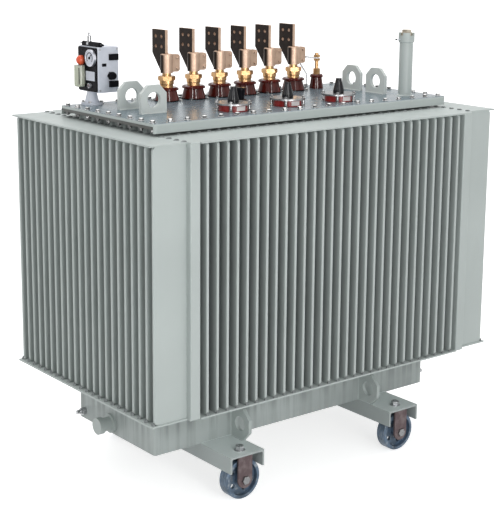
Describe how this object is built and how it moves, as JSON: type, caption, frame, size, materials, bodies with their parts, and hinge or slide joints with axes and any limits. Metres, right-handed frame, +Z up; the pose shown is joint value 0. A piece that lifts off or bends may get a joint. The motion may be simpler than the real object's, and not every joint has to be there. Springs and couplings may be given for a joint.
{
  "type": "power transformer",
  "caption": "Sealed oil-filled power transformer with corrugated cooling walls, lid bushings, protection relay, lifting lugs and a base on flat rollers.",
  "frame": {"origin": "on the ground under the middle of the tank", "axes": "+X along the tank towards the filling pipe, -Y to the high-voltage front, +Z up"},
  "size_m": [1.72, 1.018, 1.7355],
  "materials": {
    "tank_enamel": "gloss",
    "lid_enamel": "gloss",
    "channel_enamel": "satin",
    "porcelain": "gloss",
    "brass": "satin",
    "bronze": "satin",
    "zinc": "satin",
    "red_resin": "gloss",
    "black_resin": "satin",
    "white_resin": "satin",
    "clear_resin": "gloss",
    "orange_resin": "gloss",
    "dial_metal": "satin",
    "red_primer": "matte",
    "cast_steel": "satin"
  },
  "bodies": {
    "transformer": {"tank_body": "tank_enamel", "tank_rim": "tank_enamel", "lid": "lid_enamel", "front_fin_wall": "tank_enamel", "rear_fin_wall": "tank_enamel", "left_fin_wall": "tank_enamel", "right_fin_wall": "tank_enamel", "front_fin_plates": "tank_enamel", "rear_fin_plates": "tank_enamel", "left_fin_plates": "tank_enamel", "right_fin_plates": "tank_enamel", "corner_ducts": "tank_enamel", "lifting_lugs": "lid_enamel", "lv_porcelain": "porcelain", "lv_studs": "brass", "lv_flags": "bronze", "neutral_porcelain": "porcelain", "neutral_stud": "brass", "neutral_strap": "zinc", "hv_rings": "red_resin", "hv_clamps": "zinc", "hv_cones": "black_resin", "tap_changer_knob": "black_resin", "filler_pipe": "lid_enamel", "filler_cap": "brass", "relay_pedestal": "white_resin", "relay_housing": "white_resin", "relay_face": "black_resin", "relay_level_glass": "clear_resin", "relay_float": "orange_resin", "relay_dials": "dial_metal", "relay_glands": "black_resin", "relay_manifold": "black_resin", "relay_petcock": "zinc", "base_channel_left": "channel_enamel", "base_channel_right": "channel_enamel", "haulage_eyes": "channel_enamel", "wheel_forks": "red_primer", "wheel_axles": "zinc", "drain_valve": "tank_enamel", "earth_terminals": "zinc"},
    "wheel_front_left": {"wheel_front_left": "cast_steel"},
    "wheel_front_right": {"wheel_front_right": "cast_steel"},
    "wheel_rear_left": {"wheel_rear_left": "cast_steel"},
    "wheel_rear_right": {"wheel_rear_right": "cast_steel"}
  },
  "joints": [
    {"name": "wheel_front_left_roll", "type": "hinge", "parent": "transformer", "child": "wheel_front_left", "pos_m": [-0.41, -0.41, 0.08], "axis": [0, 1, 0], "continuous": true},
    {"name": "wheel_front_right_roll", "type": "hinge", "parent": "transformer", "child": "wheel_front_right", "pos_m": [0.41, -0.41, 0.08], "axis": [0, 1, 0], "continuous": true},
    {"name": "wheel_rear_left_roll", "type": "hinge", "parent": "transformer", "child": "wheel_rear_left", "pos_m": [-0.41, 0.41, 0.08], "axis": [0, 1, 0], "continuous": true},
    {"name": "wheel_rear_right_roll", "type": "hinge", "parent": "transformer", "child": "wheel_rear_right", "pos_m": [0.41, 0.41, 0.08], "axis": [0, 1, 0], "continuous": true}
  ]
}
